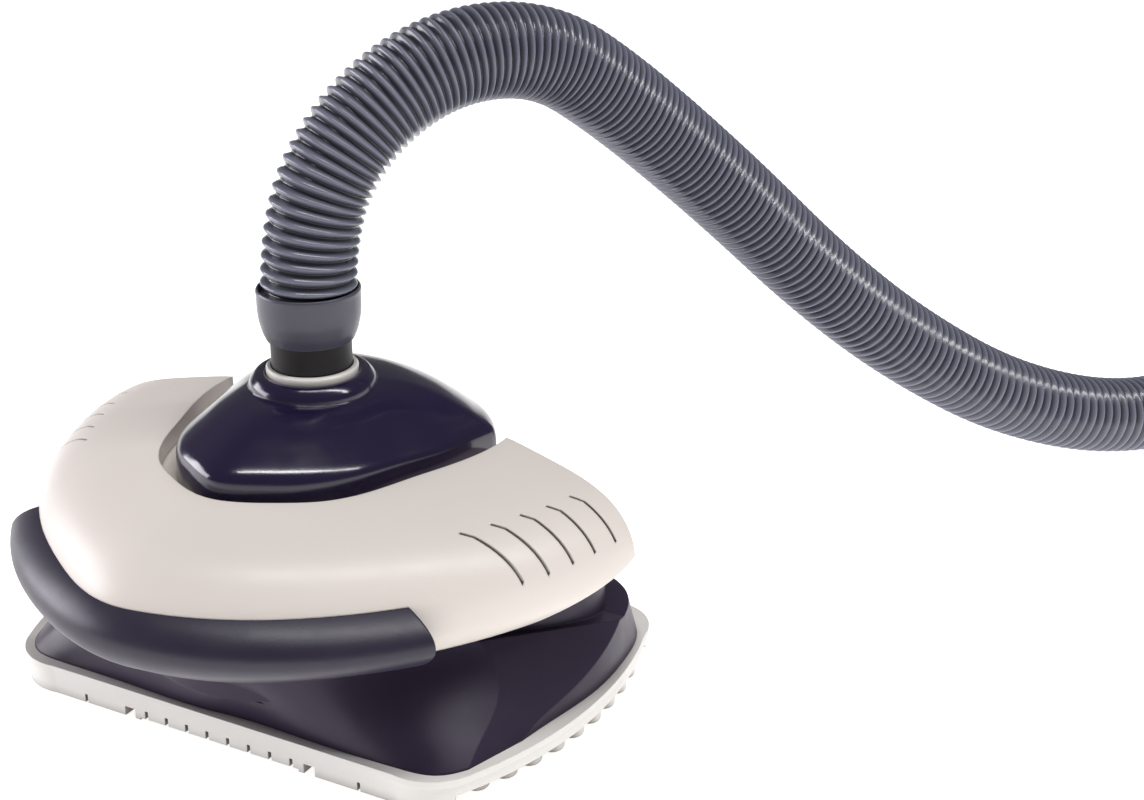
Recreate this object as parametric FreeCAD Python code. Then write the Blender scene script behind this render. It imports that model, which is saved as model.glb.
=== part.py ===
"""Suction pool cleaner head with a swivelling outlet and one leader hose section.

Units are millimetres.  +Z is up, the floor is Z = 0 and the outlet axis is X = Y = 0.
The nose points along -Y.  Every piece is written to parts/NAME.step.
"""
import FreeCAD
import Part
import math
import os

V = FreeCAD.Vector

# ---------------------------------------------------------------- driving dimensions
# heights below are drawn from a datum under the floor; write() drops every piece by FLOOR
FLOOR = 4.5
# foot
FOOT_TOP = 20.0
FOOT_PLATE_LOW, FOOT_PLATE_TOP = 11.0, 15.0
FOOT_RIM_STEP = 16.5
FOOT_RIM_INSET = 24.0
INTAKE_X, INTAKE_Y = 112.0, 52.0
# hull
HULL_LOW, HULL_EDGE, DECK_TOP = 20.0, 66.0, 88.0
HULL_EDGE_FALL = 0.22        # the hull's top edge falls this much per mm from the bumper end ...
HULL_EDGE_LEVEL_Y = 50.0     # ... back to here, and is level behind it
HULL_WALL = 3.5
# shell, bumper and dome
SHELL_WALL = 3.5
SEAM = 100.0
BUMPER_WALL = 6.0
LEDGE_TOP = 119.0
LEDGE_THICK = 3.0
DOME_WALL = 3.0
PLINTH_TOP = 116.0
# outlet and swivel
TUBE_R, BORE_R = 19.05, 16.5
RING_R, RING_IN = 21.7, 19.45
RING_TOP, COLLAR_TOP = 165.0, 159.0
FLANGE_R = 24.4
PIPE_TOP = 136.2
# hose and cuffs
HOSE_OD, HOSE_ID = 45.0, 38.6
CUFF_LOW, CUFF_SHOULDER, CUFF_TOP = 178.0, 190.0, 203.0
CUFF_R, CUFF_LOW_R = 24.3, 20.9
END_CUFF_LEN = 46.0
HOSE_HEADING = 57.9          # degrees from +X, seen from above
# hose route in its own upright plane: distance from the outlet axis, sideways, height
HOSE_ROUTE = [
    (0, 0, 190), (0, 0, 232.5), (25.5, 0, 276), (69.5, 0, 302), (121, 0, 302),
    (162, 0, 275), (227, 0, 219), (291, 0, 158), (354, 0, 108), (432, 0, 60),
    (522, 0, 29), (606, 3, 27.2), (690, 14, 27.9), (768, 34, 29.2),
]
# oscillator
CHAMBER_LOW, CHAMBER_TOP = 34.0, 84.0
PIN_Z, PIN_R = 72.0, 3.0


# ---------------------------------------------------------------- small helpers
def box(x0, x1, y0, y1, z0, z1):
    return Part.makeBox(x1 - x0, y1 - y0, z1 - z0, V(x0, y0, z0))


def cyl(r, z0, z1, x=0.0, y=0.0):
    return Part.makeCylinder(r, z1 - z0, V(x, y, z0))


def turned(profile):
    """Solid of revolution about Z from (radius, height) corners."""
    points = [V(r, 0, z) for r, z in profile]
    face = Part.Face(Part.makePolygon(points + points[:1]))
    return face.revolve(V(0, 0, 0), V(0, 0, 1), 360)


def mirrored_points(points):
    """Add the -X half to outline points that run from the nose to the tail."""
    left = [(-x, y) for x, y in reversed(points) if x > 1e-6]
    return list(points) + left


def smooth_wire(points, z):
    curve = Part.BSplineCurve()
    curve.interpolate([V(x, y, z) for x, y in mirrored_points(points)], PeriodicFlag=True)
    return Part.Wire(curve.toShape())


def prism(wire, z0, z1):
    wire = wire.copy()
    wire.translate(V(0, 0, z0 - wire.BoundBox.ZMin))
    return Part.Face(wire).extrude(V(0, 0, z1 - z0))


def rounded_rect(sx, sy, r, z, x=0.0, y=0.0):
    block = Part.makeBox(sx, sy, 1, V(x - sx / 2, y - sy / 2, z))
    upright = [e for e in block.Edges if abs(e.tangentAt(e.FirstParameter).z) > 0.9]
    block = block.makeFillet(r, upright)
    for face in block.Faces:
        if abs(face.CenterOfMass.z - z) < 1e-6:
            return face.OuterWire


def inset(wire, distance):
    return wire.makeOffset2D(-distance)


def both_sides(shape):
    return [shape, shape.mirror(V(0, 0, 0), V(1, 0, 0))]


# ---------------------------------------------------------------- outlines
def foot_wire(z=0.0):
    """Straight front, bulged sides and a gently bowed tail."""
    right = [
        ((98, -89), (118, -85), (129, -72)),
        ((129, -72), (147.5, 8), (138, 77)),
        ((138, 77), (129, 95), (110, 101)),
    ]
    edges = [Part.LineSegment(V(-98, -89, z), V(98, -89, z)).toShape()]
    for a, b, c in right:
        edges.append(Part.Arc(V(*a, z), V(*b, z), V(*c, z)).toShape())
    edges.append(Part.Arc(V(110, 101, z), V(0, 106, z), V(-110, 101, z)).toShape())
    for a, b, c in reversed(right):
        a, b, c = [(-p[0], p[1]) for p in (c, b, a)]
        edges.append(Part.Arc(V(*a, z), V(*b, z), V(*c, z)).toShape())
    return Part.Wire(edges)


SHELL_SHAPE = [(0, 1.0), (0.34, 0.895), (0.62, 0.70), (0.83, 0.46), (0.955, 0.22), (1.0, 0.0)]
SHELL_TAIL = [(0.97, 0.35), (0.75, 0.8), (0, 1.0)]
SHELL_BEAM_Y = 30.0
SHELL_TAIL_Y = 90.0


def shell_wire(half_width, nose, z, swell=0.0):
    """Horseshoe outline; swell pushes its front corners outwards."""
    points = [(f * half_width + 1.7 * f * t * swell, SHELL_BEAM_Y + t * (nose - SHELL_BEAM_Y) - 1.4 * f * t * swell)
              for f, t in SHELL_SHAPE]
    points += [(f * half_width, SHELL_BEAM_Y + t * (SHELL_TAIL_Y - SHELL_BEAM_Y)) for f, t in SHELL_TAIL]
    return smooth_wire(points, z)


# height, half width, nose position of the shell's outer skin
SHELL_LEVELS = [
    (58, 129, -122), (74, 148, -136), (90, 157, -141), (101, 154, -139),
    (110, 147, -133), (117, 136, -124), (122, 120, -111), (126, 98, -95), (128, 74, -76),
]
# the same for the bumper, and how far its corners swell beyond the shell's outline
BUMPER_LEVELS = [
    (58, 123, -118, 0), (66, 139, -131, 2), (76, 155, -145, 6), (86, 161, -150, 7),
    (94, 160, -147, 4), (100, 154, -139.5, 0),
]
OPENING = [(0, 1.0), (0.36, 0.912), (0.57, 0.81), (0.716, 0.67), (0.827, 0.477), (0.94, 0.268), (1.0, 0.0)]
TIP_Y = 38.0


def skin(levels, grow=0.0, lift=0.0):
    """Loft through level outlines given as height, half width, nose and perhaps corner swell."""
    wires = [shell_wire(level[1] + grow, level[2] - grow, level[0] + lift, *level[3:]) for level in levels]
    return Part.makeLoft(wires, True, False)


def leaf_wire(half_width, nose, tip_y, tail, z, fall=0.0):
    """Dome and shell opening outline: bowed nose, two pointed tips, shallow tail arc.

    fall tips the outline so that it drops by that much per mm towards the tail.
    """
    def at(x, y):
        return V(x, y, z - fall * y)
    right = [at(f * half_width, tip_y + t * (nose - tip_y)) for f, t in OPENING]
    left = [V(-p.x, p.y, p.z) for p in reversed(right[1:])]
    curve = Part.BSplineCurve()
    curve.interpolate(left + right)
    tail_arc = Part.Arc(right[-1], at(0, tail), left[0])
    return Part.Wire([curve.toShape(), tail_arc.toShape()])


# ---------------------------------------------------------------- foot
LUGS = [(112, -72), (122, -58), (128, -43.5), (132.5, -29), (136, -14),
        (138, 1), (139, 16), (138.5, 31), (137, 46), (134, 61)]
FOOT_SCREWS = [(94, -62), (127, 8), (111, 80)]


def skirt_notches():
    """Castellation of the front and rear skirts: a wide tab, a comb of narrow slots, a wide tab."""
    notches = [box(x - 0.9, x + 0.9, -100, 120, -1, 10) for x in (-42, -30, -18, -6, 6, 18, 30, 42)]
    notches += [box(x - 3, x + 3, -100, 120, -1, 9.5) for x in (-52, 52)]
    notches += [box(x - 0.8, x + 0.8, -100, 120, -1, 9) for x in (-79, 79)]
    notches += [box(-46, 46, -100, -80, -1, FLOOR + 1.2), box(-46, 46, 90, 120, -1, FLOOR + 1.2)]
    return notches


def intake_lip():
    """Ring under the intake that stands on the floor, with slots that let water in."""
    ring = prism(rounded_rect(INTAKE_X + 14, INTAKE_Y + 14, 20, 0), FLOOR, FOOT_PLATE_LOW)
    slots = [box(x - 7, x + 7, -60, 60, FLOOR + 1.6, FOOT_PLATE_LOW) for x in (-36, -18, 0, 18, 36)]
    slots += [box(-90, 90, y - 6, y + 6, FLOOR + 1.6, FOOT_PLATE_LOW) for y in (-9, 9)]
    return ring.cut(slots)


def foot_pad():
    rim = prism(foot_wire(), FOOT_RIM_STEP, FOOT_TOP)
    band = prism(inset(foot_wire(), 1.2), FOOT_PLATE_LOW, FOOT_RIM_STEP)
    skirt = prism(inset(foot_wire(), 1.2), FLOOR, FOOT_PLATE_LOW)
    skirt = skirt.cut(prism(inset(foot_wire(), 8.0), -1, FOOT_PLATE_LOW + 1))
    skirt = skirt.cut(box(-160, 160, -78, 90, -1, FOOT_PLATE_LOW))
    skirt = skirt.cut(skirt_notches())
    pad = rim.fuse([band, skirt])
    pocket = prism(inset(foot_wire(), FOOT_RIM_INSET), FOOT_PLATE_TOP, FOOT_TOP + 1)
    pad = pad.cut(pocket)
    lugs = []
    for x, y in LUGS:
        lug = cyl(6.2, FLOOR, FOOT_PLATE_LOW + 3, x, y)
        lugs += both_sides(lug.makeFillet(1.5, [lug.Edges[2]]))
    pad = pad.fuse(lugs + [intake_lip()])
    pad = pad.cut(prism(rounded_rect(INTAKE_X, INTAKE_Y, 16, 0), -1, FOOT_TOP + 1))
    holes = []
    for x, y in FOOT_SCREWS:
        holes += both_sides(cyl(2.0, 5, 21, x, y))
    return pad.cut(holes)


def foot_screws():
    screws = []
    for x, y in FOOT_SCREWS:
        head = cyl(4.2, FOOT_PLATE_LOW - 2, FOOT_PLATE_LOW, x, y)
        slot = box(x - 3, x + 3, y - 0.6, y + 0.6, FOOT_PLATE_LOW - 2.5, FOOT_PLATE_LOW - 1.2)
        screws += both_sides(head.fuse(cyl(2.0, FOOT_PLATE_LOW, 30, x, y)).cut(slot))
    return screws


# ---------------------------------------------------------------- hull
# outlines from the nose round to the tail, point for point: along the foot, halfway up and at the top edge
HULL_BOTTOM = [(0, -84.5), (55, -84.5), (97, -84), (116, -80.5), (126.5, -68), (136, -27),
               (142.5, 15), (140.5, 53), (132.5, 79), (116, 94), (62, 100.5), (0, 102)]
HULL_MIDDLE = [(0, -93), (46, -88), (84, -76), (101, -66), (112, -53), (129, -21),
               (141, 20), (139.5, 53), (130, 74), (112, 87), (60, 94), (0, 95)]
HULL_UPPER = [(0, -104), (36, -96), (66, -76), (84, -62), (98, -48), (122, -17),
              (141, 24), (138.5, 53), (127, 71), (108, 82), (58, 89), (0, 91)]
DECK_WIRE = [(0, -98), (36, -88), (60, -70), (86, -44), (109, -14), (127.5, 24), (129, 48), (118, 68), (80, 78), (0, 82)]
CHORD = ((100, -53), (141, 44))


def scaled(points, k):
    return [(x * k, y * k) for x, y in points]


def hull_blank(shrink, low, high):
    """Hull body; shrink pulls every outline point inwards by that distance."""
    def pull(points):
        return [(x * (1 - shrink / math.hypot(x, y)), y * (1 - shrink / math.hypot(x, y))) for x, y in points]
    wires = [smooth_wire(pull(HULL_BOTTOM), low), smooth_wire(pull(HULL_MIDDLE), 40.0),
             smooth_wire(pull(HULL_UPPER), 57.0), smooth_wire(pull(HULL_UPPER), high)]
    return Part.makeLoft(wires, True, False)


def edge_height(y):
    return HULL_EDGE - HULL_EDGE_FALL * (min(y, HULL_EDGE_LEVEL_Y) - CHORD[0][1])


def above_edge(drop):
    """Everything above the hull's falling top edge, lowered by drop."""
    corners = [V(-200, y, edge_height(y) - drop) for y in (-200, HULL_EDGE_LEVEL_Y, 200)]
    corners += [V(-200, 200, 200), V(-200, -200, 200)]
    return Part.Face(Part.makePolygon(corners + corners[:1])).extrude(V(400, 0, 0))


def chord_cutter(back_off):
    """Slanted cut that leaves a straight top edge and a crescent facet on the hull side."""
    (x0, y0), (x1, y1) = CHORD
    run = V(x1 - x0, y1 - y0, 0).normalize()
    out = V(run.y, -run.x, 0)
    fall = V(run.x, run.y, -HULL_EDGE_FALL * run.y)
    top = V(x0, y0, HULL_EDGE) - out * back_off - fall * 60
    corners = [top - out * 19.2 + V(0, 0, 30), top + out * 64 - V(0, 0, 100), top + out * 90 + V(0, 0, 30)]
    face = Part.Face(Part.makePolygon(corners + corners[:1]))
    return face.extrude(fall * 240)


def deck_blank(k, lower):
    """Raised deck under the shell, its top sloping down behind the outlet."""
    block = prism(smooth_wire(scaled(DECK_WIRE, k), 0), 38 - lower, DECK_TOP - lower)
    corners = [V(-200, 18, DECK_TOP - lower), V(-200, 90, DECK_TOP - 26 - lower), V(-200, 90, 130), V(-200, 18, 130)]
    return block.cut(Part.Face(Part.makePolygon(corners + corners[:1])).extrude(V(400, 0, 0)))


def lower_hull():
    blank = hull_blank(0.0, HULL_LOW, HULL_EDGE + 20).cut(both_sides(chord_cutter(0)))
    blank = blank.cut(above_edge(0))
    cavity = hull_blank(HULL_WALL + 1.5, HULL_LOW, HULL_EDGE + 20)
    cavity = cavity.cut(both_sides(chord_cutter(HULL_WALL + 1))).cut(above_edge(3.0))
    cavity = cavity.cut(box(-200, 200, -200, 200, 0, HULL_LOW + 3.0))
    plinth = prism(leaf_wire(58, -64, 50, 84, 0), 46, PLINTH_TOP)
    plinth_room = prism(leaf_wire(54.5, -60, 47, 80.5, 0), 40, PLINTH_TOP - 3)
    hull = blank.fuse([deck_blank(1.0, 0), plinth])
    hull = hull.cut([cavity, deck_blank(0.965, 3.0), plinth_room])
    hull = hull.cut(prism(rounded_rect(78, 44, 8, 0), HULL_LOW - 1, HULL_LOW + 4))
    bosses = []
    for x, y in FOOT_SCREWS:
        bosses += both_sides(cyl(6, HULL_LOW + 2, 34, x, y))
    for x, y in SHELL_POSTS:
        bosses += both_sides(cyl(5, DECK_TOP - 8, DECK_TOP - 2, x, y))
    hull = hull.fuse(bosses)
    holes = []
    for x, y in FOOT_SCREWS:
        holes += both_sides(cyl(2.0, HULL_LOW - 1, 30, x, y))
    for x, y in SHELL_POSTS:
        holes += both_sides(cyl(1.8, DECK_TOP - 9, DECK_TOP + 1, x, y))
    holes.append(cyl(30.0, PLINTH_TOP - 5, PLINTH_TOP + 1))
    return hull.cut(holes)


# ---------------------------------------------------------------- shell and bumper
SHELL_POSTS = [(50, -46), (73, 2)]
BUMPER_END = (88, -76)
BUMPER_GAP = 0.5      # clearance between the bumper's lower edge and the hull


def tail_cutter():
    """Everything behind the swept-back rear faces of the two arms."""
    corners = [V(0, 55, 0), V(160, 27, 0), V(220, 16, 0), V(220, 200, 0), V(0, 200, 0)]
    right = Part.Face(Part.makePolygon(corners + corners[:1])).extrude(V(0, 0, 200))
    return right.fuse(right.mirror(V(0, 0, 0), V(1, 0, 0)))


def skirt_cutter():
    """Below the rising lower edge of the arms, from the bumper end to the tail corner."""
    corners = [V(0, -260, 40), V(0, -260, 30), V(0, 120, 30), V(0, 120, 104),
               V(0, 29, 90), V(0, -51, 67), V(0, -72, 62)]
    face = Part.Face(Part.makePolygon([V(-200, p.y, p.z) for p in corners + corners[:1]]))
    return face.extrude(V(400, 0, 0))


def bumper_zone():
    """Front block that holds the bumper; its ends are swept to match the bumper ends."""
    corners = [V(-200, -260, 0), V(200, -260, 0), V(200, -104, 0), V(BUMPER_END[0], BUMPER_END[1], 0),
               V(60, -40, 0), V(-60, -40, 0), V(-BUMPER_END[0], BUMPER_END[1], 0), V(-200, -104, 0)]
    return Part.Face(Part.makePolygon(corners + corners[:1])).extrude(V(0, 0, SEAM))


# start and end of each louvre groove on the right arm
GILLS = [((106, -42), (135, -36.5)), ((113.5, -28), (141, -24)), ((120, -13.5), (146, -11)),
         ((125.5, 0.5), (150, 2)), ((129.5, 15), (153, 16))]
GILL_WIDTH, GILL_DEPTH = 1.5, 2.0


def gill_cutters():
    """Five bent louvre grooves on the right arm, cut straight down from above."""
    cutters = []
    for (x0, y0), (x1, y1) in GILLS:
        path = [V(x0, y0, 140), V(x0 + 6, y0 + 2.5, 140), V(x1, y1, 140)]
        half = V(0, GILL_WIDTH / 2, 0)
        corners = [p + half for p in path] + [p - half for p in reversed(path)]
        face = Part.Face(Part.makePolygon(corners + corners[:1]))
        cutters.append(face.extrude(V(0, 0, -45)))
    return cutters


def upper_shell():
    outer = skin(SHELL_LEVELS)
    room = skin(SHELL_LEVELS, grow=-SHELL_WALL, lift=-SHELL_WALL)
    end_wall = tail_cutter()
    end_wall.translate(V(0, -SHELL_WALL, 0))
    room = room.cut(end_wall)
    room = room.cut(prism(leaf_wire(85.5, -85.5, TIP_Y, 114, 0), LEDGE_TOP - LEDGE_THICK, 140))
    opening = prism(leaf_wire(81.5, -81.5, TIP_Y, 110, 0), LEDGE_TOP, 200)
    hole = prism(leaf_wire(60, -66, 52, 90, 0), 90, 140)
    shell = outer.cut(room).cut(opening).cut(hole).cut(tail_cutter()).cut(skirt_cutter())
    shell = shell.cut(bumper_zone())
    depth = skin(SHELL_LEVELS, grow=-GILL_DEPTH, lift=-GILL_DEPTH)
    grooves = []
    for cutter in gill_cutters():
        grooves += both_sides(cutter.cut(depth))
    shell = shell.cut(grooves)
    posts = []
    for x, y in SHELL_POSTS:
        posts += both_sides(cyl(5, DECK_TOP, LEDGE_TOP - 1, x, y))
    shell = shell.fuse(posts)
    for x, y in SHELL_POSTS:
        shell = shell.cut(both_sides(cyl(1.8, DECK_TOP - 1, DECK_TOP + 12, x, y)))
    return shell


def front_bumper():
    """Crowned band; the room inside runs past both its edges."""
    outer = skin(BUMPER_LEVELS)
    low, top = BUMPER_LEVELS[0], BUMPER_LEVELS[-1]
    stack = [(low[0] - 3, *low[1:])] + BUMPER_LEVELS + [(top[0] + 3, *top[1:])]
    band = outer.cut(skin(stack, grow=-BUMPER_WALL)).common(bumper_zone())
    hull_side = hull_blank(-BUMPER_GAP, HULL_LOW, HULL_EDGE + 20).cut(both_sides(chord_cutter(-BUMPER_GAP)))
    return band.cut(hull_side)


def shell_screws():
    screws = []
    for x, y in SHELL_POSTS:
        screw = cyl(3.4, DECK_TOP - 10, DECK_TOP - 8, x, y).fuse(cyl(1.8, DECK_TOP - 8, DECK_TOP + 11, x, y))
        screws += both_sides(screw)
    return screws


# ---------------------------------------------------------------- dome and outlet
# size factor, height at the outlet, fall towards the tail
DOME_LEVELS = [
    (1.0, 108, 0.0), (1.0, 124.5, 0.07), (0.985, 128.5, 0.075), (0.93, 134, 0.07),
    (0.82, 141.5, 0.055), (0.69, 148, 0.04), (0.53, 153.5, 0.02), (0.40, 156, 0.0),
]
DOME_HALF_WIDTH, DOME_NOSE, DOME_TIP_Y, DOME_TAIL = 71.0, -78.0, 48.0, 90.0


def dome_blank(shrink, lift):
    wires = []
    for k, z, fall in DOME_LEVELS:
        wires.append(leaf_wire(k * DOME_HALF_WIDTH - shrink, k * DOME_NOSE + shrink, k * DOME_TIP_Y - shrink,
                               k * DOME_TAIL - shrink, z - lift, fall))
    return Part.makeLoft(wires, True, False)


def dome_cover():
    body = dome_blank(0, 0).cut(box(-200, 200, -200, 200, 60, LEDGE_TOP))
    room = dome_blank(DOME_WALL, DOME_WALL)
    collar = turned([(0, 140), (30, 140), (30, 154.5), (27.8, 156.0), (26.5, 157.6), (25.6, COLLAR_TOP), (0, COLLAR_TOP)])
    dome = body.cut(room).fuse([cyl(30, PIPE_TOP, 150), collar])
    dome = dome.cut([cyl(RING_R, 120, 170), cyl(25.0, 120, 147)])
    return dome.removeSplitter()


def bearing_ring():
    return turned([(RING_IN, 143), (25.0, 143), (25.0, 147), (RING_R, 147), (RING_R, RING_TOP - 1),
                   (RING_R - 0.8, RING_TOP), (RING_IN, RING_TOP)])


def bearing_balls():
    count = 24
    balls = []
    for i in range(count):
        a = 2 * math.pi * i / count
        balls.append(Part.makeSphere(1.5, V(22.0 * math.cos(a), 22.0 * math.sin(a), 141.5)))
    return balls


def swivel_tube():
    return turned([(BORE_R, 136.6), (FLANGE_R, 136.6), (FLANGE_R, 139.6), (TUBE_R, 139.6),
                   (TUBE_R, CUFF_SHOULDER - 0.5), (BORE_R, CUFF_SHOULDER - 0.5)])


def outlet_pipe():
    return turned([(BORE_R, CHAMBER_TOP), (26, CHAMBER_TOP), (26, CHAMBER_TOP + 4), (19.5, CHAMBER_TOP + 4),
                   (19.5, 132.2), (30, 132.2), (30, PIPE_TOP), (BORE_R, PIPE_TOP)])


# ---------------------------------------------------------------- hose
def hose_points():
    a = math.radians(HOSE_HEADING)
    ahead = V(math.cos(a), math.sin(a), 0)
    aside = V(-math.sin(a), math.cos(a), 0)
    return [ahead * s + aside * t + V(0, 0, z) for s, t, z in HOSE_ROUTE]


def rounded_route(points):
    """Straight runs joined by tangent arcs."""
    edges = []
    start = points[0]
    radii = []
    for before, corner, after in zip(points, points[1:], points[2:]):
        into, out = corner - before, after - corner
        turn = into.getAngle(out)
        reach = 0.45 * min(into.Length, out.Length)
        radii.append(reach / math.tan(turn / 2))
        into.normalize()
        out.normalize()
        first, last = corner - into * reach, corner + out * reach
        toward = (out - into).normalize()
        centre = corner + toward * math.hypot(radii[-1], reach)
        middle = centre - toward * radii[-1]
        edges.append(Part.LineSegment(start, first).toShape())
        edges.append(Part.Arc(first, middle, last).toShape())
        start = last
    edges.append(Part.LineSegment(start, points[-1]).toShape())
    return Part.Wire(edges), radii


def hose():
    points = hose_points()
    wire, radii = rounded_route(points)
    tangent = points[1] - points[0]
    rings = [Part.Wire(Part.makeCircle(d / 2, points[0], tangent)) for d in (HOSE_OD, HOSE_ID)]
    outer, inner = [wire.makePipeShell([ring], True, False) for ring in rings]
    tube = outer.cut(inner)
    section = math.pi * (HOSE_OD ** 2 - HOSE_ID ** 2) / 4
    print("hose corner radii", [round(r) for r in radii])
    print("hose length", round(wire.Length, 1), "volume ratio", round(tube.Volume / (section * wire.Length), 4))
    return tube


def hose_cuff():
    return turned([(TUBE_R, CUFF_LOW + 1), (TUBE_R + 0.8, CUFF_LOW), (CUFF_LOW_R, CUFF_LOW), (22.4, CUFF_LOW + 4),
                   (23.7, CUFF_LOW + 9), (CUFF_R, CUFF_LOW + 14), (CUFF_R, CUFF_TOP - 1), (CUFF_R - 0.8, CUFF_TOP),
                   (HOSE_OD / 2, CUFF_TOP), (HOSE_OD / 2, CUFF_SHOULDER), (TUBE_R, CUFF_SHOULDER)])


def hose_end_cuff():
    grip = 13.0
    profile = [(HOSE_OD / 2, -grip), (CUFF_R - 0.8, -grip), (CUFF_R, -grip + 1), (CUFF_R, 4), (23.4, 12),
               (22.6, 20), (22.6, END_CUFF_LEN - grip - 1), (21.8, END_CUFF_LEN - grip), (TUBE_R + 0.8, END_CUFF_LEN - grip),
               (TUBE_R, END_CUFF_LEN - grip - 1), (TUBE_R, 0), (HOSE_OD / 2, 0)]
    cuff = turned(profile)
    points = hose_points()
    along = points[-1] - points[-2]
    cuff.Placement = FreeCAD.Placement(points[-1], FreeCAD.Rotation(V(0, 0, 1), along))
    return cuff


# ---------------------------------------------------------------- oscillator and throat
def frustum(low, top, z0, z1):
    """Straight-sided funnel between two rounded rectangles given as (x size, y size)."""
    return Part.makeLoft([rounded_rect(*low, 9, z0), rounded_rect(*top, 9, z1)], True, True)


def throat():
    flange = prism(rounded_rect(INTAKE_X + 12, INTAKE_Y + 12, 18, 0), FOOT_PLATE_TOP, FOOT_PLATE_TOP + 3)
    outer = frustum((INTAKE_X + 6, INTAKE_Y + 6), (76, 42), FOOT_PLATE_TOP, 20)
    outer = outer.fuse(frustum((76, 42), (60, 40), 20, CHAMBER_LOW))
    room = frustum((INTAKE_X, INTAKE_Y), (70, 36), FOOT_PLATE_TOP, 20)
    room = room.fuse(frustum((70, 36), (36, 30), 20, CHAMBER_LOW))
    return flange.fuse(outer).cut(room)


def chamber_half(side):
    body = box(-28, 28, -46, 46, CHAMBER_LOW, CHAMBER_TOP)
    upright = [e for e in body.Edges if abs(e.tangentAt(e.FirstParameter).z) > 0.9]
    body = body.makeFillet(3, upright)
    room = box(-23, 23, -41, 41, CHAMBER_LOW + 4, CHAMBER_TOP - 4)
    body = body.cut([room, prism(rounded_rect(36, 30, 8, 0), CHAMBER_LOW - 1, CHAMBER_LOW + 5), cyl(BORE_R, CHAMBER_TOP - 5, CHAMBER_TOP + 1)])
    body = body.fuse([box(22, 28, -5.5, 5.5, PIN_Z - 5, PIN_Z + 5), box(-28, -22, -5.5, 5.5, PIN_Z - 5, PIN_Z + 5)])
    pin_hole = Part.makeCylinder(PIN_R, 52, V(-26, 0, PIN_Z), V(1, 0, 0))
    body = body.cut(pin_hole)
    half = box(0, 40, -60, 60, 0, 100) if side > 0 else box(-40, 0, -60, 60, 0, 100)
    body = body.common(half)
    for y in (-43.5, 43.5):
        body = body.cut(Part.makeCylinder(1.2, 50, V(-17, y, 60), V(1, 0, 0)))
    return body


def chamber_screws():
    screws = []
    for y in (-43.5, 43.5):
        shank = Part.makeCylinder(1.2, 45, V(-17, y, 60), V(1, 0, 0))
        screws.append(shank.fuse(Part.makeCylinder(2.2, 2, V(28, y, 60), V(1, 0, 0))))
    return screws


def oscillator():
    """Hanging flapper that swings fore and aft on the pin."""
    hub = Part.makeCylinder(6.5, 40, V(-20, 0, PIN_Z), V(1, 0, 0))
    corners = [V(-20, -5, PIN_Z), V(-20, 5, PIN_Z), V(-20, 9, 48), V(-20, 6, 43), V(-20, -6, 43), V(-20, -9, 48)]
    blade = Part.Face(Part.makePolygon(corners + corners[:1])).extrude(V(40, 0, 0))
    bore = Part.makeCylinder(PIN_R + 0.05, 42, V(-21, 0, PIN_Z), V(1, 0, 0))
    return hub.fuse(blade).cut(bore)


def oscillator_pin():
    return Part.makeCylinder(PIN_R, 52, V(-26, 0, PIN_Z), V(1, 0, 0))


def oscillator_seat(side):
    """Rubber stop on the front or rear wall of the chamber."""
    corners = [V(-22, side * 41, 42), V(-22, side * 24, 42), V(-22, side * 20, 47), V(-22, side * 33, 66), V(-22, side * 41, 66)]
    return Part.Face(Part.makePolygon(corners + corners[:1])).extrude(V(44, 0, 0))


def ballast(side):
    block = box(62, 100, -34, 44, HULL_LOW + 3, HULL_LOW + 19)
    block = block.makeFillet(4, [e for e in block.Edges if abs(e.tangentAt(e.FirstParameter).z) > 0.9])
    return block if side > 0 else block.mirror(V(0, 0, 0), V(1, 0, 0))


def float_block(side):
    block = box(82, 102, -12, 16, DECK_TOP, DECK_TOP + 18)
    block = block.makeFillet(3, block.Edges)
    return block if side > 0 else block.mirror(V(0, 0, 0), V(1, 0, 0))


# ---------------------------------------------------------------- output
def write(name, shape):
    if isinstance(shape, list):
        shape = Part.makeCompound(shape)
    shape = shape.copy()
    shape.translate(V(0, 0, -FLOOR))
    print(name, "solids", len(shape.Solids), "valid", shape.isValid(), "volume cm3", round(shape.Volume / 1000, 1),
          [round(v, 1) for v in (shape.BoundBox.XMin, shape.BoundBox.XMax, shape.BoundBox.YMin,
                                 shape.BoundBox.YMax, shape.BoundBox.ZMin, shape.BoundBox.ZMax)])
    shape.exportStep("parts/" + name + ".step")


os.makedirs("parts", exist_ok=True)
PIECES = {
    "foot_pad": foot_pad, "foot_screws": foot_screws, "lower_hull": lower_hull, "upper_shell": upper_shell,
    "front_bumper": front_bumper, "shell_screws": shell_screws, "dome_cover": dome_cover,
    "bearing_ring": bearing_ring, "bearing_balls": bearing_balls, "swivel_tube": swivel_tube,
    "outlet_pipe": outlet_pipe, "hose": hose, "hose_cuff": hose_cuff, "hose_end_cuff": hose_end_cuff,
    "intake_throat": throat, "chamber_screws": chamber_screws, "oscillator": oscillator,
    "oscillator_pin": oscillator_pin,
}
for piece_name, maker in PIECES.items():
    write(piece_name, maker())
write("chamber_right", chamber_half(1))
write("chamber_left", chamber_half(-1))
write("seat_front", oscillator_seat(-1))
write("seat_rear", oscillator_seat(1))
write("ballast_right", ballast(1))
write("ballast_left", ballast(-1))
write("float_right", float_block(1))
write("float_left", float_block(-1))
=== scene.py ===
"""Looks of the pool cleaner head and its leader hose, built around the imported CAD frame.

Places are in the frame's own axes: +Z up, the outlet axis at X = Y = 0, the nose towards -Y.
Lengths are in metres, or in mm where a comment says so.
"""
import math

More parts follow.
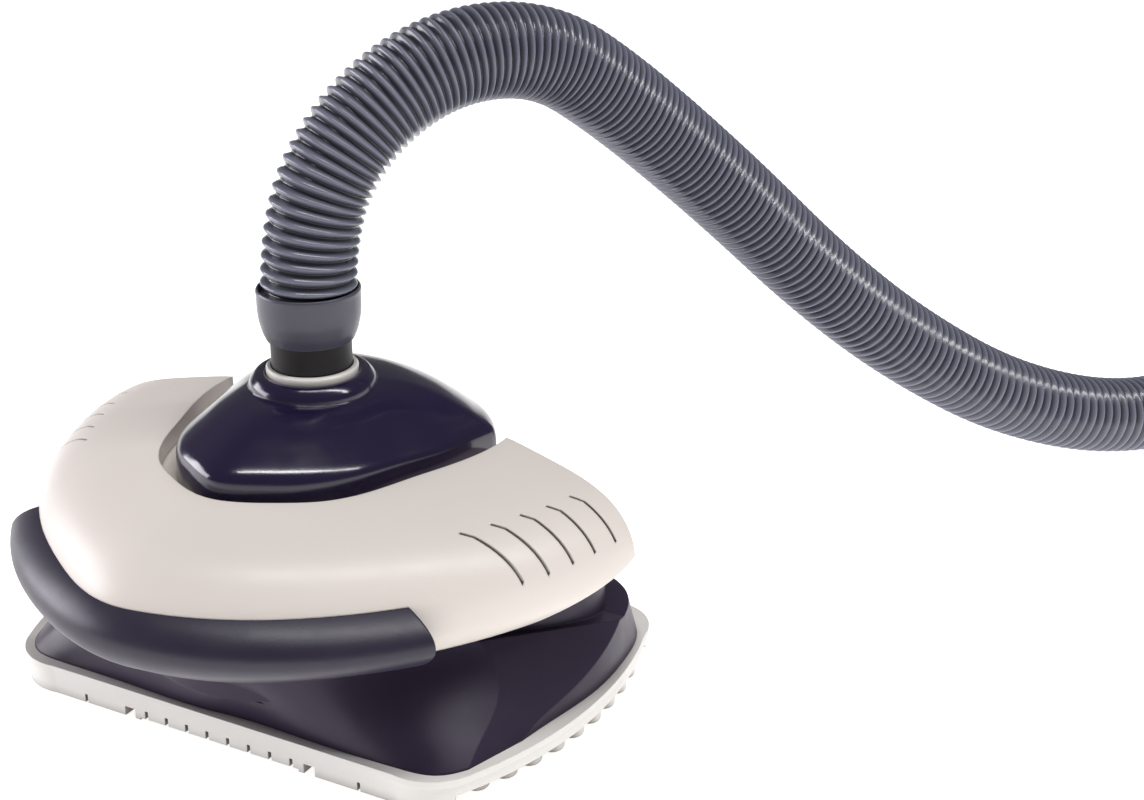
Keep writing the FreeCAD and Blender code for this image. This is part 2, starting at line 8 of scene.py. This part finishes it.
import bpy
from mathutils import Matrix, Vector


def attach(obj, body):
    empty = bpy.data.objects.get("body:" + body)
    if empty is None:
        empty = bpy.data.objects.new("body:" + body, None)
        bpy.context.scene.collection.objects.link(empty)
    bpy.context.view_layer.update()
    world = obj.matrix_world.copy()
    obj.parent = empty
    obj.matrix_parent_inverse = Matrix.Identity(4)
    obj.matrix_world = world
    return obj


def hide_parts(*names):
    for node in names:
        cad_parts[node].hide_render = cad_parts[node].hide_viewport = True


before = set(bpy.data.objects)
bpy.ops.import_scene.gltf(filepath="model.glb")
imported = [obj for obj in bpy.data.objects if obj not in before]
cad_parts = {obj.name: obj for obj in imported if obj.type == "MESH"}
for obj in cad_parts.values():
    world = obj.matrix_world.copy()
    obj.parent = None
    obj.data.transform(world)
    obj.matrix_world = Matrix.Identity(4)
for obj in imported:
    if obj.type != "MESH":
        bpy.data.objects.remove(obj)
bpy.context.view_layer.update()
scene = bpy.context.scene
MM = 0.001


# ---------------------------------------------------------------- camera
LENS, SENSOR_WIDTH = 62.9, 36.0
CAMERA_PLACE = (0.5290, -0.7062, 0.4999)
CAMERA_PITCH, CAMERA_TURN = 67.7, 28.9


def make_camera():
    data = bpy.data.cameras.new("camera")
    data.lens = LENS
    data.sensor_width = SENSOR_WIDTH
    camera = bpy.data.objects.new("camera", data)
    camera.location = CAMERA_PLACE
    camera.rotation_euler = (math.radians(CAMERA_PITCH), 0.0, math.radians(CAMERA_TURN))
    scene.collection.objects.link(camera)
    scene.camera = camera


# ---------------------------------------------------------------- material helpers
CLOUD_SCALE, GLOSS_SCALE = 14.0, 55.0
# the noise's own range that spread() stretches
NOISE_LOW, NOISE_HIGH = 0.3, 0.7
BUMP_STRENGTH = 0.6
COAT_ROUGHNESS = 0.06


class Shader:
    """A Principled material with named helpers for its procedural detail."""

    def __init__(self, name):
        self.material = bpy.data.materials.new(name)
        self.material.use_nodes = True
        self.nodes = self.material.node_tree.nodes
        self.links = self.material.node_tree.links
        self.surface = self.nodes["Principled BSDF"]
        self.place = self.nodes.new("ShaderNodeTexCoord").outputs["Object"]

    def set(self, **sockets):
        for name, value in sockets.items():
            self.surface.inputs[name.replace("_", " ")].default_value = value

    def noise(self, scale, detail=3.0):
        node = self.nodes.new("ShaderNodeTexNoise")
        node.inputs["Scale"].default_value = scale
        node.inputs["Detail"].default_value = detail
        self.links.new(self.place, node.inputs["Vector"])
        return node.outputs["Fac"]

    def spread(self, factor, low, high):
        """Map the middle of a factor's range onto low to high."""
        node = self.nodes.new("ShaderNodeMapRange")
        node.inputs["From Min"].default_value = NOISE_LOW
        node.inputs["From Max"].default_value = NOISE_HIGH
        node.inputs["To Min"].default_value = low
        node.inputs["To Max"].default_value = high
        self.links.new(factor, node.inputs["Value"])
        return node.outputs["Result"]

    def mix(self, factor, first, second):
        """Blend two colours, each a tuple or another node's output."""
        node = self.nodes.new("ShaderNodeMix")
        node.data_type = "RGBA"
        self.links.new(factor, node.inputs["Factor"])
        for socket, colour in (("A", first), ("B", second)):
            target = [i for i in node.inputs if i.name == socket and i.type == "RGBA"][0]
            if isinstance(colour, tuple):
                target.default_value = (*colour, 1.0)
            else:
                self.links.new(colour, target)
        return [o for o in node.outputs if o.type == "RGBA"][0]

    def colour(self, output):
        self.links.new(output, self.surface.inputs["Base Color"])

    def roughness(self, output):
        self.links.new(output, self.surface.inputs["Roughness"])

    def creases(self, colour, shade, reach):
        """Painted shade: blend a colour towards the shade colour where another surface stands closer
        than reach.
        """
        node = self.nodes.new("ShaderNodeAmbientOcclusion")
        node.samples = 8
        node.inputs["Distance"].default_value = reach
        return self.mix(self.spread(node.outputs["AO"], 0.0, 1.0), shade, colour)

    def relief(self, height, depth, edge=0.0):
        """Bump from a height factor, over edges rounded by the edge radius."""
        bump = self.nodes.new("ShaderNodeBump")
        bump.inputs["Distance"].default_value = depth
        bump.inputs["Strength"].default_value = BUMP_STRENGTH
        self.links.new(height, bump.inputs["Height"])
        if edge:
            rounded = self.nodes.new("ShaderNodeBevel")
            rounded.samples = 6
            rounded.inputs["Radius"].default_value = edge
            self.links.new(rounded.outputs["Normal"], bump.inputs["Normal"])
        self.links.new(bump.outputs["Normal"], self.surface.inputs["Normal"])


def moulded(name, colour, shade, rough=(0.3, 0.4), grain=900.0, depth=0.00006, edge=0.0008,
            coat=0.0, crevice_shade=None, reach=0.003, gloss=0.5):
    """Moulded plastic: faint flow clouds in the colour, uneven gloss and a fine skin texture.

    Where a crevice shade colour is given, it is painted as shade into creases narrower than about the
    reach.
    """
    shader = Shader(name)
    clouds = shader.noise(CLOUD_SCALE, 4.0)
    surface = shader.mix(shader.spread(clouds, 0.0, 1.0), colour, shade)
    # painted shade: ambient occlusion darkens the colour in creases and gaps
    if crevice_shade:
        surface = shader.creases(surface, crevice_shade, reach)
    shader.colour(surface)
    shader.roughness(shader.spread(shader.noise(GLOSS_SCALE), *rough))
    shader.relief(shader.noise(grain, 2.0), depth, edge)
    shader.set(Specular_IOR_Level=gloss)
    if coat:
        shader.set(Coat_Weight=coat, Coat_Roughness=COAT_ROUGHNESS)
    return shader.material


# ---------------------------------------------------------------- materials
def hose_plastic():
    """Glossy blue-grey plastic, with painted shade: near-black down in the valleys between the ribs.
    """
    shader = Shader("hose_plastic")
    crest = shader.nodes.new("ShaderNodeAttribute")
    crest.attribute_name = "crest"
    ridge = shader.mix(shader.noise(CLOUD_SCALE, 4.0), (0.185, 0.190, 0.245), (0.160, 0.165, 0.218))
    # painted shade: the crest attribute mixes a near-black colour into the valleys
    shader.colour(shader.mix(crest.outputs["Fac"], (0.018, 0.018, 0.026), ridge))
    shader.roughness(shader.spread(shader.noise(GLOSS_SCALE), 0.18, 0.26))
    shader.relief(shader.noise(700.0, 2.0), 0.00004)
    return shader.material


def steel():
    """Bright screw and ball steel with a fine grain."""
    shader = Shader("screw_steel")
    shader.set(Metallic=1.0)
    shader.colour(shader.mix(shader.noise(60.0), (0.56, 0.56, 0.58), (0.46, 0.46, 0.48)))
    shader.roughness(shader.spread(shader.noise(900.0, 2.0), 0.22, 0.4))
    shader.relief(shader.noise(1400.0, 2.0), 0.00003, 0.0002)
    return shader.material


# the shell and foot carry painted shade in their creases, gills and gaps
SHELL_WHITE = moulded("shell_plastic", (0.82, 0.755, 0.70), (0.795, 0.73, 0.675), rough=(0.34, 0.42),
                      edge=0.0010, crevice_shade=(0.20, 0.17, 0.15))
FOOT_WHITE = moulded("foot_plastic", (0.83, 0.81, 0.78), (0.80, 0.78, 0.745), rough=(0.42, 0.52),
                     edge=0.0007, crevice_shade=(0.16, 0.135, 0.11), reach=0.011)
RING_WHITE = moulded("ring_plastic", (0.80, 0.77, 0.73), (0.74, 0.71, 0.67), edge=0.0005)
DOME_NAVY = moulded("dome_plastic", (0.015, 0.009, 0.038), (0.013, 0.008, 0.032), rough=(0.14, 0.20),
                    depth=0.00002, edge=0.0016, coat=0.25)
HULL_NAVY = moulded("hull_plastic", (0.032, 0.022, 0.048), (0.028, 0.019, 0.042), rough=(0.34, 0.42),
                    depth=0.00002, edge=0.0012, gloss=0.3)
BUMPER_VIOLET = moulded("bumper_rubber", (0.026, 0.020, 0.042), (0.022, 0.017, 0.036),
                        rough=(0.36, 0.44), edge=0.0014)
CUFF_GREY = moulded("cuff_plastic", (0.072, 0.071, 0.098), (0.063, 0.062, 0.087), rough=(0.28, 0.36),
                    edge=0.0)
TUBE_DARK = moulded("tube_plastic", (0.009, 0.007, 0.009), (0.007, 0.005, 0.007), rough=(0.4, 0.5),
                    gloss=0.25)
INNER_BLACK = moulded("inner_plastic", (0.022, 0.022, 0.026), (0.016, 0.016, 0.019),
                      rough=(0.45, 0.6))
RUBBER_BLACK = moulded("soft_rubber", (0.020, 0.020, 0.020), (0.028, 0.027, 0.026),
                       rough=(0.6, 0.75))
IRON_GREY = moulded("ballast_iron", (0.12, 0.12, 0.125), (0.08, 0.075, 0.075), rough=(0.55, 0.75),
                    grain=400.0, depth=0.0002)
FOAM_CREAM = moulded("float_foam", (0.78, 0.77, 0.72), (0.70, 0.69, 0.64), rough=(0.8, 0.95),
                     grain=600.0, depth=0.0004)
STEEL = steel()


# ---------------------------------------------------------------- mesh helpers
TURN_SIDES = 128


def add_mesh(name, points, faces, material):
    """A smooth-shaded object of one material."""
    mesh = bpy.data.meshes.new(name)
    mesh.from_pydata([tuple(p) for p in points], [], faces)
    mesh.polygons.foreach_set("use_smooth", [True] * len(faces))
    mesh.materials.append(material)
    piece = bpy.data.objects.new(name, mesh)
    scene.collection.objects.link(piece)
    return piece


def grid_faces(rows, columns):
    """Quads between rows of points that each close on themselves."""
    faces = []
    for i in range(rows - 1):
        low = i * columns
        high = low + columns
        for j in range(columns):
            k = (j + 1) % columns
            faces.append((low + j, low + k, high + k, high + j))
    return faces


def softened(corners, steps=5, share=0.3):
    """Profile with every corner between its two ends replaced by a short curve."""
    corners = [Vector(c) for c in corners]
    points = [corners[0]]
    for before, corner, after in zip(corners, corners[1:], corners[2:]):
        start = corner.lerp(before, share)
        end = corner.lerp(after, share)
        for i in range(steps + 1):
            t = i / steps
            points.append(start.lerp(corner, t).lerp(corner.lerp(end, t), t))
    return points + [corners[-1]]


def passing(points, steps):
    """Points of a smooth curve through the given ones."""
    padded = [2 * points[0] - points[1]] + points + [2 * points[-1] - points[-2]]
    curve = []
    for a, b, c, d in zip(padded, padded[1:], padded[2:], padded[3:]):
        for i in range(steps):
            t = i / steps
            curve.append(0.5 * (2 * b + (c - a) * t + (2 * a - 5 * b + 4 * c - d) * t * t
                                + (3 * b - a - 3 * c + d) * t ** 3))
    return curve + [points[-1]]


def circle(radius, height):
    """Points round the outlet axis at a radius and height in mm."""
    angles = [2 * math.pi * k / TURN_SIDES for k in range(TURN_SIDES)]
    return [Vector((radius * math.cos(a), radius * math.sin(a), height)) * MM for a in angles]


def turned(name, profile, material):
    """Turn a closed (radius, height) outline in mm about the outlet axis."""
    points = [point for corner in profile for point in circle(*corner)]
    faces = grid_faces(len(profile), TURN_SIDES)
    last = (len(profile) - 1) * TURN_SIDES
    for j in range(TURN_SIDES):
        k = (j + 1) % TURN_SIDES
        faces.append((last + j, last + k, k, j))
    return add_mesh(name, points, faces, material)


# ---------------------------------------------------------------- hose
# the route of the CAD tube in mm: distance along its heading, sideways and height
HOSE_HEADING = math.radians(57.9)
HOSE_ROUTE = [
    (0, 0, 185.5), (0, 0, 228), (25.5, 0, 271.5), (69.5, 0, 297.5), (121, 0, 297.5),
    (162, 0, 270.5), (227, 0, 214.5), (291, 0, 153.5), (354, 0, 103.5), (432, 0, 55.5),
    (522, 0, 24.5), (606, 3, 22.7), (690, 14, 23.4), (768, 34, 24.7),
]
HOSE_RADIUS = 0.0225
# rib spacing in mm against distance along the hose in m, measured on this route and rounded.
# The change along it may be an error in the route's depth; a real hose probably has even ribs.
RIB_PITCHES = [(0.0, 6.0), (0.055, 5.5), (0.125, 4.4), (0.20, 3.7), (0.29, 4.2), (0.395, 5.0),
               (0.505, 5.9), (0.61, 6.8), (1.0, 6.8)]
RIB_DEPTH = 0.0024
# how much deeper the ribs are at the cuff, and how far along the hose that fades
RIB_EXTRA, RIB_FADE = 0.4, 0.10
# below 1 the crests are broader than the valleys
CREST_POWER = 0.8
RING_STEP = 0.00045
HOSE_SIDES = 56
CUFF_OUTLINE = [(19.3, 173.7), (20.6, 173.6), (22.4, 178.0), (23.8, 184.0), (24.2, 189.0),
                (24.2, 195.8), (24.5, 197.4), (23.9, 198.5), (22.9, 198.4), (22.65, 186.5),
                (19.2, 185.9), (19.2, 173.8)]


def hose_line():
    """Points along the NURBS spline that the hose route guides."""
    ahead = Vector((math.cos(HOSE_HEADING), math.sin(HOSE_HEADING), 0.0))
    aside = Vector((-math.sin(HOSE_HEADING), math.cos(HOSE_HEADING), 0.0))
    data = bpy.data.curves.new("hose_line", "CURVE")
    data.dimensions = "3D"
    data.resolution_u = 40
    spline = data.splines.new("NURBS")
    spline.points.add(len(HOSE_ROUTE) - 1)
    for point, (along, side, height) in zip(spline.points, HOSE_ROUTE):
        place = (ahead * along + aside * side + Vector((0, 0, height))) * MM
        point.co = (*place, 1.0)
    spline.order_u = 3
    spline.use_endpoint_u = True
    line = bpy.data.objects.new("hose_line", data)
    scene.collection.objects.link(line)
    bpy.context.view_layer.update()
    sampled = bpy.data.meshes.new_from_object(line)
    points = [v.co.copy() for v in sampled.vertices]
    bpy.data.objects.remove(line)
    return points


def even_steps(points, step):
    """Points every step along a line, each with the tangent and the distance travelled."""
    result = []
    due = 0.0
    travelled = 0.0
    for a, b in zip(points, points[1:]):
        run = (b - a).length
        while due <= travelled + run and run > 0:
            result.append((a.lerp(b, (due - travelled) / run), (b - a).normalized(), due))
            due += step
        travelled += run
    return result


def rib_pitch(travel):
    """Rib spacing at a distance along the hose."""
    for (start, low), (end, high) in zip(RIB_PITCHES, RIB_PITCHES[1:]):
        if travel <= end:
            return (low + (high - low) * (travel - start) / (end - start)) * MM
    return RIB_PITCHES[-1][1] * MM


def rib_depth(travel):
    """The ribs are deeper next to the lower cuff."""
    return RIB_DEPTH * (1.0 + RIB_EXTRA * math.exp(-travel / RIB_FADE))


def make_cuff(material):
    """Push-fit cuff: tapering foot, straight grip and a rolled rim round the hose."""
    cuff = turned("cuff", softened(CUFF_OUTLINE), material)
    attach(cuff, "swivel")
    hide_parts("hose_cuff")
    return cuff


def make_hose(material, cuff):
    """Sweep a ribbed ring along the hose; each point keeps how near it is to a crest, which the
    material uses to paint shade into the valleys.
    """
    line = hose_line()
    steps = even_steps(line, RING_STEP)
    side = Vector((1, 0, 0))
    phase = 0.0
    points = []
    crests = []
    for centre, tangent, travel in steps:
        side = (side - tangent * side.dot(tangent)).normalized()
        up = tangent.cross(side)
        crest = (0.5 - 0.5 * math.cos(2 * math.pi * phase)) ** CREST_POWER
        radius = HOSE_RADIUS - rib_depth(travel) * (1.0 - crest)
        for k in range(HOSE_SIDES):
            angle = 2 * math.pi * k / HOSE_SIDES
            points.append(centre + (side * math.cos(angle) + up * math.sin(angle)) * radius)
            crests.append(crest)
        phase += RING_STEP / rib_pitch(travel)
    piece = add_mesh("ribbed_hose", points, grid_faces(len(steps), HOSE_SIDES), material)
    piece.data.attributes.new("crest", "FLOAT", "POINT").data.foreach_set("value", crests)
    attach(piece, "swivel")
    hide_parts("hose")


# ---------------------------------------------------------------- dome
# outline from the nose to one tip: share of the half width, share of the length to the nose
DOME_OUTLINE = [(0, 1.0), (0.36, 0.912), (0.57, 0.81), (0.716, 0.67), (0.827, 0.477), (0.94, 0.268),
                (1.0, 0.0)]
# in mm, the last three along Y
DOME_HALF_WIDTH, DOME_NOSE, DOME_TIP, DOME_TAIL = 71.0, -78.0, 48.0, 90.0
# size, height in mm and fall per mm towards the tail: steep wall, tight rim, then a shallow crown
DOME_LEVELS = [(1.0, 103.5, 0.0), (1.0, 116.5, 0.065), (1.0, 120.5, 0.07), (0.997, 123.5, 0.072),
               (0.988, 126.1, 0.073), (0.97, 128.1, 0.073), (0.945, 129.9, 0.072),
               (0.90, 132.5, 0.068), (0.82, 137.0, 0.055), (0.69, 143.5, 0.04),
               (0.53, 149.0, 0.02), (0.38, 151.3, 0.0), (0.32, 151.7, 0.0)]
DOME_COLLAR = [(30.2, 146.0), (30.2, 151.6), (29.4, 154.0), (28.0, 155.8), (26.6, 157.2),
               (24.4, 157.6), (22.0, 157.4), (21.9, 150.0)]
# steps between neighbouring points of the nose, in each half of the tail, between levels and
# in each corner of the collar
NOSE_STEPS, TAIL_STEPS, LEVEL_STEPS, COLLAR_STEPS = 10, 20, 4, 4


def dome_ring(size, height, fall):
    """One level of the dome: bowed nose, two tips and a shallow tail."""
    reach = DOME_NOSE - DOME_TIP
    right = [Vector((f * DOME_HALF_WIDTH, DOME_TIP + t * reach, 0)) for f, t in DOME_OUTLINE]
    left = [Vector((-p.x, p.y, 0)) for p in reversed(right[1:])]
    nose = passing(left + right, NOSE_STEPS)
    rise = DOME_TAIL - DOME_TIP
    radius = (DOME_HALF_WIDTH ** 2 + rise ** 2) / (2 * rise)
    sweep = math.asin(DOME_HALF_WIDTH / radius)
    tail = []
    for i in range(1, 2 * TAIL_STEPS):
        angle = sweep * (1 - i / TAIL_STEPS)
        tail.append(Vector((radius * math.sin(angle), DOME_TAIL - radius * (1 - math.cos(angle)), 0)))
    return [Vector((p.x * size, p.y * size, height - fall * p.y * size)) * MM for p in nose + tail]


def make_dome(material):
    """Crowned cover with a tight rim, and the raised collar that stands through it."""
    levels = passing([Vector(level) for level in DOME_LEVELS], LEVEL_STEPS)
    rows = [dome_ring(*level) for level in levels]
    points = [point for row in rows for point in row]
    faces = grid_faces(len(rows), len(rows[0]))
    first = len(points)
    collar = softened(DOME_COLLAR, COLLAR_STEPS)
    for corner in collar:
        points += circle(*corner)
    faces += [tuple(first + i for i in face) for face in grid_faces(len(collar), TURN_SIDES)]
    dome = add_mesh("dome", points, faces, material)
    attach(dome, "head")
    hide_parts("dome_cover")


# ---------------------------------------------------------------- CAD pieces
PAINTED = {
    SHELL_WHITE: ["upper_shell"],
    FOOT_WHITE: ["foot_pad"],
    RING_WHITE: ["bearing_ring"],
    HULL_NAVY: ["lower_hull"],
    BUMPER_VIOLET: ["front_bumper"],
    CUFF_GREY: ["hose_end_cuff"],
    TUBE_DARK: ["swivel_tube"],
    INNER_BLACK: ["outlet_pipe", "intake_throat", "chamber_right", "chamber_left"],
    RUBBER_BLACK: ["oscillator", "seat_front", "seat_rear"],
    IRON_GREY: ["ballast_right", "ballast_left"],
    FOAM_CREAM: ["float_right", "float_left"],
    STEEL: ["foot_screws", "shell_screws", "bearing_balls", "chamber_screws", "oscillator_pin"],
}


def paint_nodes():
    """Give each CAD node that stays visible its material."""
    for material, names in PAINTED.items():
        for name in names:
            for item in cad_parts[name].material_slots:
                item.material = material


# ---------------------------------------------------------------- stage
FLOOR_HALF, FLOOR_DROP = 30.0, 0.0004
FLOOR_GLOW = 0.85
SKY_TINT, SKY_STRENGTH = (0.97, 0.97, 1.0, 1.0), 0.15


def make_floor():
    """Plain pale floor just under the foot, glowing so that it stays near white."""
    shader = Shader("floor_paper")
    shader.colour(shader.mix(shader.noise(3.0), (0.93, 0.925, 0.92), (0.90, 0.895, 0.89)))
    shader.set(Specular_IOR_Level=0.0, Roughness=0.9)
    shader.set(Emission_Color=(1.0, 0.99, 0.98, 1.0), Emission_Strength=FLOOR_GLOW)
    signs = [(-1, -1), (1, -1), (1, 1), (-1, 1)]
    corners = [(x * FLOOR_HALF, y * FLOOR_HALF, -FLOOR_DROP) for x, y in signs]
    floor = add_mesh("floor", corners, [(0, 1, 2, 3)], shader.material)


def softbox(name, place, target, width, height, power, tint=(1.0, 1.0, 1.0)):
    """Rectangular lamp at a place, aimed at a target."""
    data = bpy.data.lights.new(name, "AREA")
    data.shape = "RECTANGLE"
    data.size = width
    data.size_y = height
    data.energy = power
    data.color = tint
    lamp = bpy.data.objects.new(name, data)
    lamp.location = place
    lamp.rotation_euler = (Vector(target) - Vector(place)).to_track_quat("-Z", "Y").to_euler()
    scene.collection.objects.link(lamp)


def make_lights():
    world = bpy.data.worlds.new("studio")
    world.use_nodes = True
    sky = world.node_tree.nodes["Background"]
    sky.inputs["Color"].default_value = SKY_TINT
    sky.inputs["Strength"].default_value = SKY_STRENGTH
    scene.world = world
    softbox("overhead_strip", place=(0.95, 0.10, 1.75), target=(0.78, 0.43, 0.1),
            width=2.6, height=0.14, power=30)
    softbox("left_panel", place=(-1.50, -0.45, 0.45), target=(0, 0, 0.1),
            width=1.2, height=0.6, power=16, tint=(0.96, 0.94, 1.0))


make_camera()
make_hose(hose_plastic(), make_cuff(CUFF_GREY))
make_dome(DOME_NAVY)
paint_nodes()
make_floor()
make_lights()
scene.view_settings.view_transform = "Standard"
